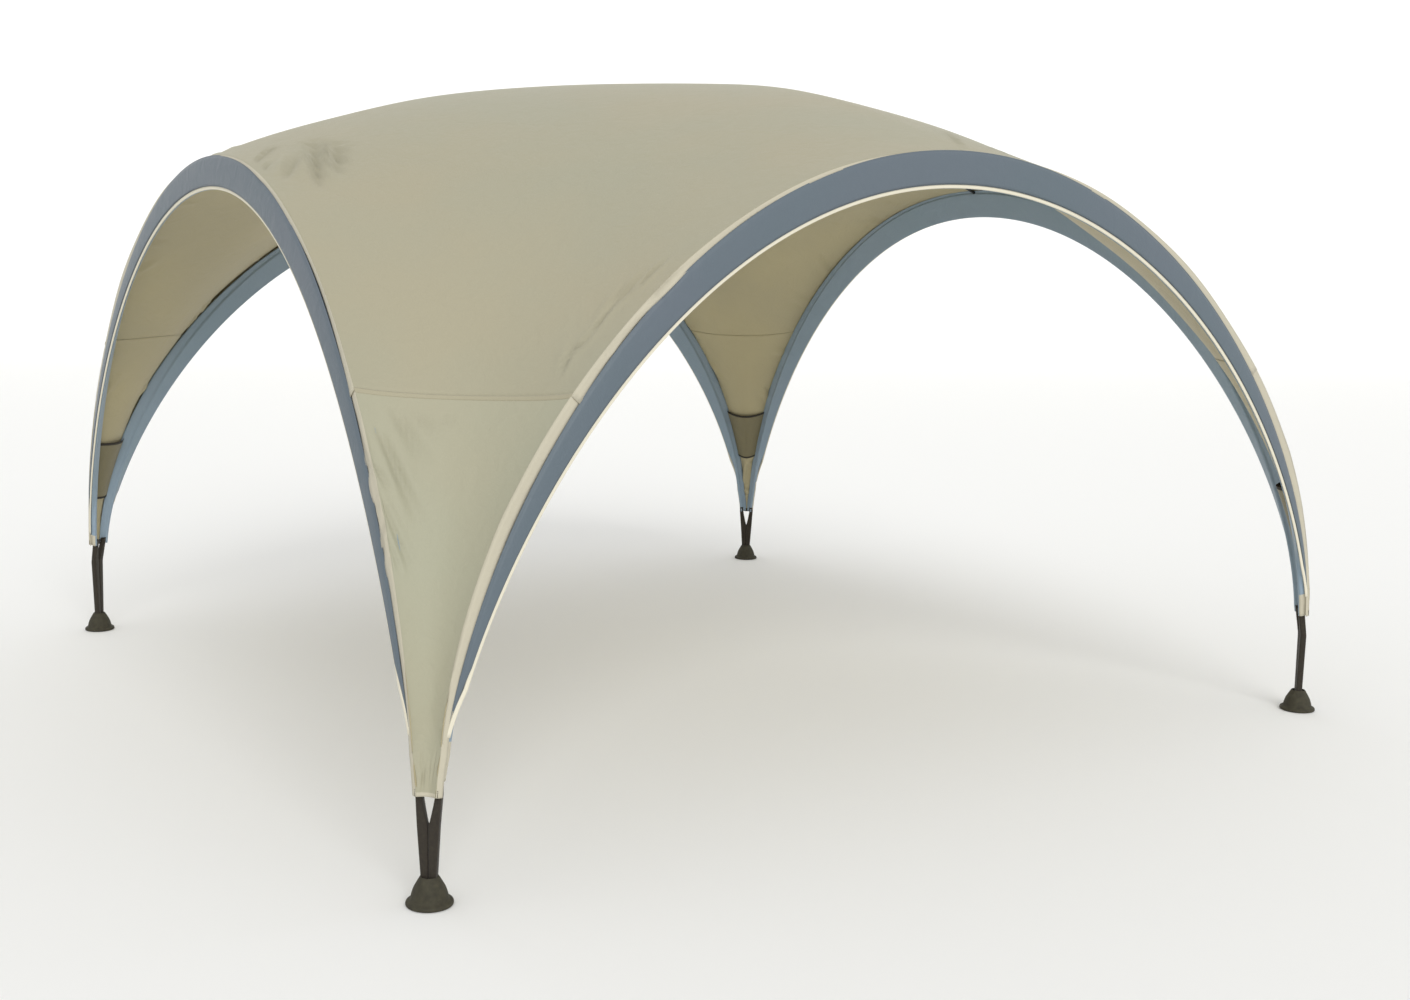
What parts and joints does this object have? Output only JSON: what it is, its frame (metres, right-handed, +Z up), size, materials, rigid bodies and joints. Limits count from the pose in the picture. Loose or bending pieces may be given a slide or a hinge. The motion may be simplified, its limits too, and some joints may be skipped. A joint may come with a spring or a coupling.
{
  "type": "party tent",
  "caption": "Square party tent: a domed cloth roof over arched doorways, with banded arch edges on curved poles that meet in pairs at cupped feet.",
  "frame": {"origin": "on the ground, in the middle of the four feet", "axes": "+Z up; the front arch faces -Y, the right arch +X, the back arch +Y and the left arch -X"},
  "size_m": [3.701, 3.701, 2.33],
  "materials": {
    "roof_cloth": "woven polyester, sand, light matt coating",
    "band_cloth": "woven polyester, blue grey, light sheen",
    "piping_cloth": "woven tape, cream",
    "lining_cloth": "woven polyester, olive",
    "webbing": "woven webbing, dark brown",
    "pole": "thin dark tube, satin",
    "foot_rubber": "dark olive rubber, matt"
  },
  "bodies": {
    "root": {"roof_quarter_near": "roof_cloth", "roof_quarter_right": "roof_cloth", "roof_quarter_far": "roof_cloth", "roof_quarter_left": "roof_cloth", "leg_panel_near": "roof_cloth", "leg_panel_right": "roof_cloth", "leg_panel_far": "roof_cloth", "leg_panel_left": "roof_cloth", "leg_lining_near": "lining_cloth", "leg_lining_right": "lining_cloth", "leg_lining_far": "lining_cloth", "leg_lining_left": "lining_cloth", "hem_bar_near": "webbing", "hem_bar_right": "webbing", "hem_bar_far": "webbing", "hem_bar_left": "webbing", "arch_band_front": "band_cloth", "arch_band_right": "band_cloth", "arch_band_back": "band_cloth", "arch_band_left": "band_cloth", "band_piping_front": "piping_cloth", "band_piping_right": "piping_cloth", "band_piping_back": "piping_cloth", "band_piping_left": "piping_cloth", "leg_sleeve_near_front": "webbing", "leg_sleeve_near_left": "webbing", "leg_sleeve_right_front": "webbing", "leg_sleeve_right_right": "webbing", "leg_sleeve_far_right": "webbing", "leg_sleeve_far_back": "webbing", "leg_sleeve_left_back": "webbing", "leg_sleeve_left_left": "webbing", "arch_pole_front": "pole", "arch_pole_right": "pole", "arch_pole_back": "pole", "arch_pole_left": "pole", "roof_pole_left_right": "pole", "roof_pole_front_back": "pole", "foot_cup_near": "foot_rubber", "foot_cup_right": "foot_rubber", "foot_cup_far": "foot_rubber", "foot_cup_left": "foot_rubber"}
  },
  "joints": []
}
